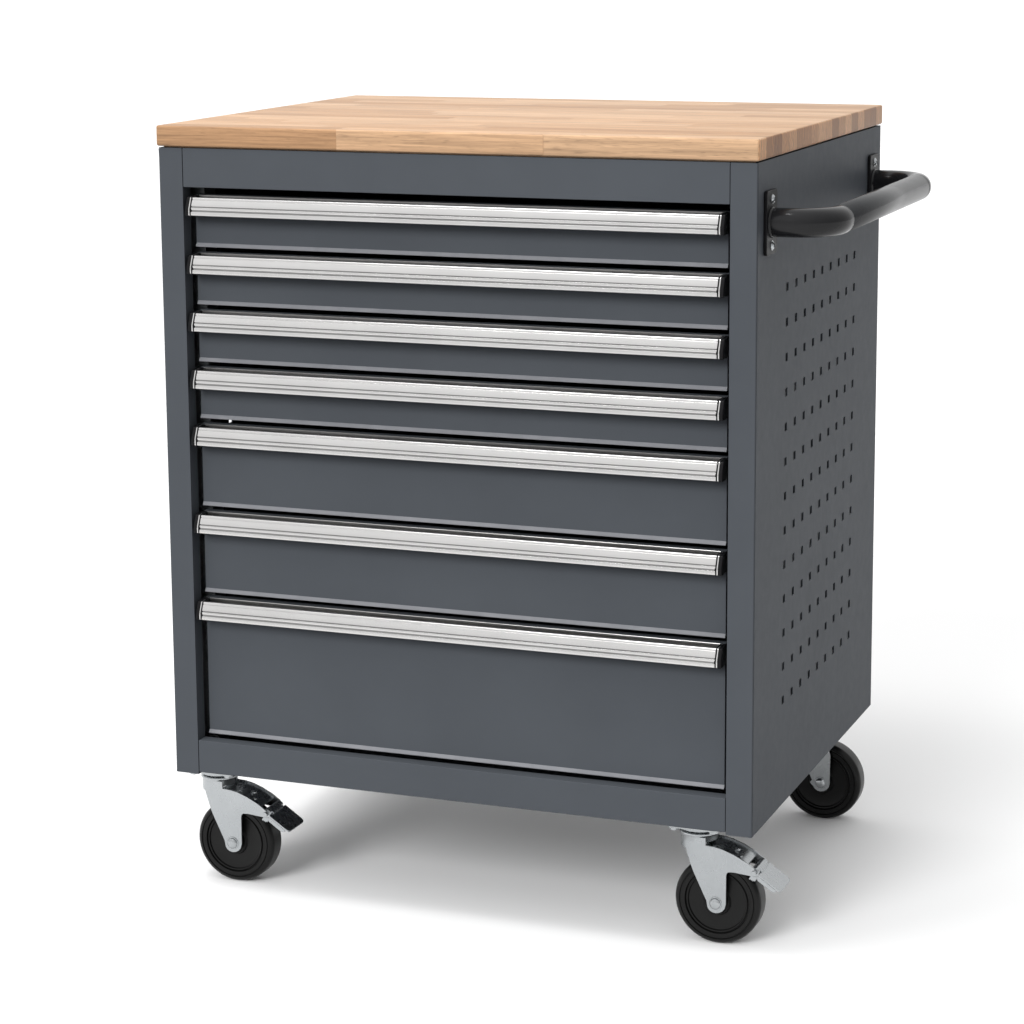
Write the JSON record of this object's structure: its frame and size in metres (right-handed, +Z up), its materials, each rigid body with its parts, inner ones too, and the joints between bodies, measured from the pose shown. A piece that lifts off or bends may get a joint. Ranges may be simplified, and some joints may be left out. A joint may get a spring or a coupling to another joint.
{
  "type": "rolling tool chest",
  "caption": "Cabinet of full-width telescopic drawers under a wooden worktop, with a push bar on one side and perforated sides, standing on swivel casters.",
  "frame": {"origin": "on the floor under the middle of the overall box, push bar included", "axes": "+X across the front towards the push bar side, +Y from the drawer fronts to the back, +Z up"},
  "size_m": [0.856, 0.6032, 0.981],
  "materials": {
    "body_paint": "anthracite powder coat, satin, fine texture",
    "slide_zinc": "zinc plated, satin",
    "worktop_beech": "edge-glued beech staves, oiled",
    "handle_aluminium": "brushed and anodised",
    "bar_elbow": "black, glossy",
    "bar_tube": "dark grey, satin",
    "caster_zinc": "bright zinc plate",
    "wheel_rubber": "black solid rubber"
  },
  "bodies": {
    "chest": {"side_panel_left": "body_paint", "side_panel_right": "body_paint", "back_panel": "body_paint", "top_panel": "body_paint", "base_tray": "body_paint", "top_rail": "body_paint", "worktop": "worktop_beech", "push_bar_tube": "bar_tube", "push_bar_elbow_front": "bar_elbow", "push_bar_elbow_rear": "bar_elbow", "push_bar_bracket_front": "body_paint", "push_bar_bracket_rear": "body_paint", "runner_frame_left": "slide_zinc", "runner_frame_right": "slide_zinc", "caster_front_left_plate": "caster_zinc", "caster_front_right_plate": "caster_zinc", "caster_rear_left_plate": "caster_zinc", "caster_rear_right_plate": "caster_zinc"},
    "drawer_1": {"drawer_1": "body_paint", "drawer_1_handle": "handle_aluminium"},
    "slide_1": {"slide_1_left": "slide_zinc", "slide_1_right": "slide_zinc"},
    "drawer_2": {"drawer_2": "body_paint", "drawer_2_handle": "handle_aluminium"},
    "slide_2": {"slide_2_left": "slide_zinc", "slide_2_right": "slide_zinc"},
    "drawer_3": {"drawer_3": "body_paint", "drawer_3_handle": "handle_aluminium"},
    "slide_3": {"slide_3_left": "slide_zinc", "slide_3_right": "slide_zinc"},
    "drawer_4": {"drawer_4": "body_paint", "drawer_4_handle": "handle_aluminium"},
    "slide_4": {"slide_4_left": "slide_zinc", "slide_4_right": "slide_zinc"},
    "drawer_5": {"drawer_5": "body_paint", "drawer_5_handle": "handle_aluminium"},
    "slide_5": {"slide_5_left": "slide_zinc", "slide_5_right": "slide_zinc"},
    "drawer_6": {"drawer_6": "body_paint", "drawer_6_handle": "handle_aluminium"},
    "slide_6": {"slide_6_left": "slide_zinc", "slide_6_right": "slide_zinc"},
    "drawer_7": {"drawer_7": "body_paint", "drawer_7_handle": "handle_aluminium"},
    "slide_7": {"slide_7_left": "slide_zinc", "slide_7_right": "slide_zinc"},
    "caster_front_left": {"caster_front_left_fork": "caster_zinc", "caster_front_left_axle": "caster_zinc"},
    "caster_front_left_wheel": {"caster_front_left_wheel": "wheel_rubber"},
    "caster_front_left_brake": {"caster_front_left_brake_pedal": "caster_zinc"},
    "caster_front_right": {"caster_front_right_fork": "caster_zinc", "caster_front_right_axle": "caster_zinc"},
    "caster_front_right_wheel": {"caster_front_right_wheel": "wheel_rubber"},
    "caster_front_right_brake": {"caster_front_right_brake_pedal": "caster_zinc"},
    "caster_rear_left": {"caster_rear_left_fork": "caster_zinc", "caster_rear_left_axle": "caster_zinc"},
    "caster_rear_left_wheel": {"caster_rear_left_wheel": "wheel_rubber"},
    "caster_rear_right": {"caster_rear_right_fork": "caster_zinc", "caster_rear_right_axle": "caster_zinc"},
    "caster_rear_right_wheel": {"caster_rear_right_wheel": "wheel_rubber"}
  },
  "joints": [
    {"name": "drawer_1_travel", "type": "slide", "parent": "chest", "child": "drawer_1", "axis": [0, -1, 0], "range_m": [0, 0.45]},
    {"name": "slide_1_travel", "type": "slide", "parent": "chest", "child": "slide_1", "axis": [0, -1, 0], "range_m": [0, 0.225]},
    {"name": "drawer_2_travel", "type": "slide", "parent": "chest", "child": "drawer_2", "axis": [0, -1, 0], "range_m": [0, 0.45]},
    {"name": "slide_2_travel", "type": "slide", "parent": "chest", "child": "slide_2", "axis": [0, -1, 0], "range_m": [0, 0.225]},
    {"name": "drawer_3_travel", "type": "slide", "parent": "chest", "child": "drawer_3", "axis": [0, -1, 0], "range_m": [0, 0.45]},
    {"name": "slide_3_travel", "type": "slide", "parent": "chest", "child": "slide_3", "axis": [0, -1, 0], "range_m": [0, 0.225]},
    {"name": "drawer_4_travel", "type": "slide", "parent": "chest", "child": "drawer_4", "axis": [0, -1, 0], "range_m": [0, 0.45]},
    {"name": "slide_4_travel", "type": "slide", "parent": "chest", "child": "slide_4", "axis": [0, -1, 0], "range_m": [0, 0.225]},
    {"name": "drawer_5_travel", "type": "slide", "parent": "chest", "child": "drawer_5", "axis": [0, -1, 0], "range_m": [0, 0.45]},
    {"name": "slide_5_travel", "type": "slide", "parent": "chest", "child": "slide_5", "axis": [0, -1, 0], "range_m": [0, 0.225]},
    {"name": "drawer_6_travel", "type": "slide", "parent": "chest", "child": "drawer_6", "axis": [0, -1, 0], "range_m": [0, 0.45]},
    {"name": "slide_6_travel", "type": "slide", "parent": "chest", "child": "slide_6", "axis": [0, -1, 0], "range_m": [0, 0.225]},
    {"name": "drawer_7_travel", "type": "slide", "parent": "chest", "child": "drawer_7", "axis": [0, -1, 0], "range_m": [0, 0.45]},
    {"name": "slide_7_travel", "type": "slide", "parent": "chest", "child": "slide_7", "axis": [0, -1, 0], "range_m": [0, 0.225]},
    {"name": "caster_front_left_swivel", "type": "hinge", "parent": "chest", "child": "caster_front_left", "pos_m": [-0.392, -0.24035, 0.13666], "axis": [0, 0, 1], "continuous": true},
    {"name": "caster_front_left_spin", "type": "hinge", "parent": "caster_front_left", "child": "caster_front_left_wheel", "pos_m": [-0.365, -0.24035, 0.05416], "axis": [0, 1, 0], "continuous": true},
    {"name": "caster_front_left_brake_release", "type": "hinge", "parent": "caster_front_left", "child": "caster_front_left_brake", "pos_m": [-0.317, -0.24035, 0.09814], "axis": [0, -1, 0], "range_deg": [0, 20]},
    {"name": "caster_front_right_swivel", "type": "hinge", "parent": "chest", "child": "caster_front_right", "pos_m": [0.258, -0.24035, 0.13666], "axis": [0, 0, 1], "continuous": true},
    {"name": "caster_front_right_spin", "type": "hinge", "parent": "caster_front_right", "child": "caster_front_right_wheel", "pos_m": [0.285, -0.24035, 0.05416], "axis": [0, 1, 0], "continuous": true},
    {"name": "caster_front_right_brake_release", "type": "hinge", "parent": "caster_front_right", "child": "caster_front_right_brake", "pos_m": [0.333, -0.24035, 0.09814], "axis": [0, -1, 0], "range_deg": [0, 20]},
    {"name": "caster_rear_left_swivel", "type": "hinge", "parent": "chest", "child": "caster_rear_left", "pos_m": [-0.392, 0.25965, 0.13666], "axis": [0, 0, 1], "continuous": true},
    {"name": "caster_rear_left_spin", "type": "hinge", "parent": "caster_rear_left", "child": "caster_rear_left_wheel", "pos_m": [-0.365, 0.25965, 0.05416], "axis": [0, 1, 0], "continuous": true},
    {"name": "caster_rear_right_swivel", "type": "hinge", "parent": "chest", "child": "caster_rear_right", "pos_m": [0.258, 0.25965, 0.13666], "axis": [0, 0, 1], "continuous": true},
    {"name": "caster_rear_right_spin", "type": "hinge", "parent": "caster_rear_right", "child": "caster_rear_right_wheel", "pos_m": [0.285, 0.25965, 0.05416], "axis": [0, 1, 0], "continuous": true}
  ],
  "couplings": [
    {"joint": "slide_1_travel", "follows": "drawer_1_travel", "ratio": 0.5},
    {"joint": "slide_2_travel", "follows": "drawer_2_travel", "ratio": 0.5},
    {"joint": "slide_3_travel", "follows": "drawer_3_travel", "ratio": 0.5},
    {"joint": "slide_4_travel", "follows": "drawer_4_travel", "ratio": 0.5},
    {"joint": "slide_5_travel", "follows": "drawer_5_travel", "ratio": 0.5},
    {"joint": "slide_6_travel", "follows": "drawer_6_travel", "ratio": 0.5},
    {"joint": "slide_7_travel", "follows": "drawer_7_travel", "ratio": 0.5}
  ]
}
